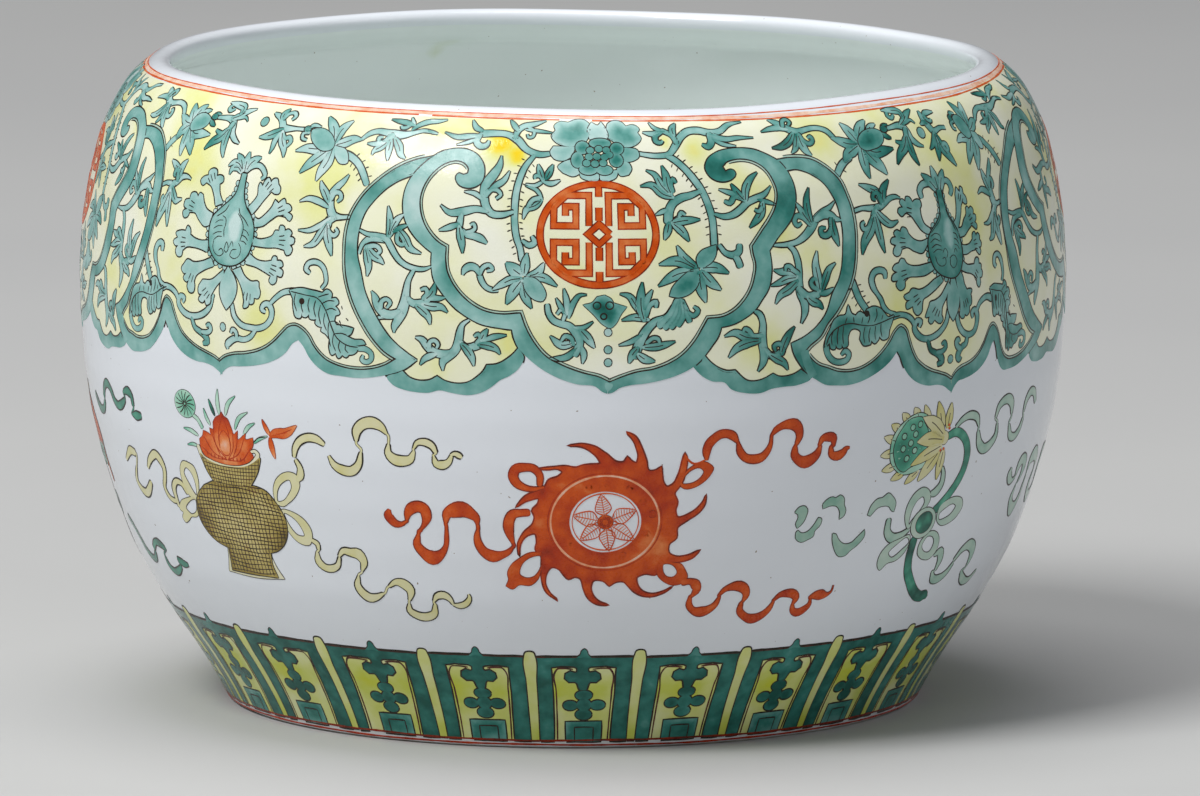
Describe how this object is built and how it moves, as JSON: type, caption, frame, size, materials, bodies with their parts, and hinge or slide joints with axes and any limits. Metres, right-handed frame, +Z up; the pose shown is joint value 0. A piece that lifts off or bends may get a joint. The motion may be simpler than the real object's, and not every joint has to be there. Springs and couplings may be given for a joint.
{
  "type": "globular vase",
  "caption": "Wide-mouthed globular porcelain vase with a rolled lip, full round belly and turned foot ring, painted in enamels.",
  "frame": {"origin": "centre of the plane that the foot ring stands on", "axes": "+Z up along the vase's axis, out of the mouth; -Y is the front, with the red wheel emblem under a round medallion"},
  "size_m": [0.24, 0.24, 0.1574],
  "materials": {
    "porcelain": "clear gloss glaze over white porcelain",
    "slip": "glazed-over slip",
    "biscuit": "unglazed foot ring, matt",
    "yellow_enamel": "translucent overglaze enamel, gloss",
    "green_enamel": "translucent overglaze enamel, gloss",
    "red_enamel": "iron-red overglaze colour, satin",
    "ink_line": "dark outline colour under the enamels"
  },
  "bodies": {
    "root": {"lower_section": "porcelain", "upper_section": "porcelain", "luting_band": "slip"}
  },
  "joints": []
}
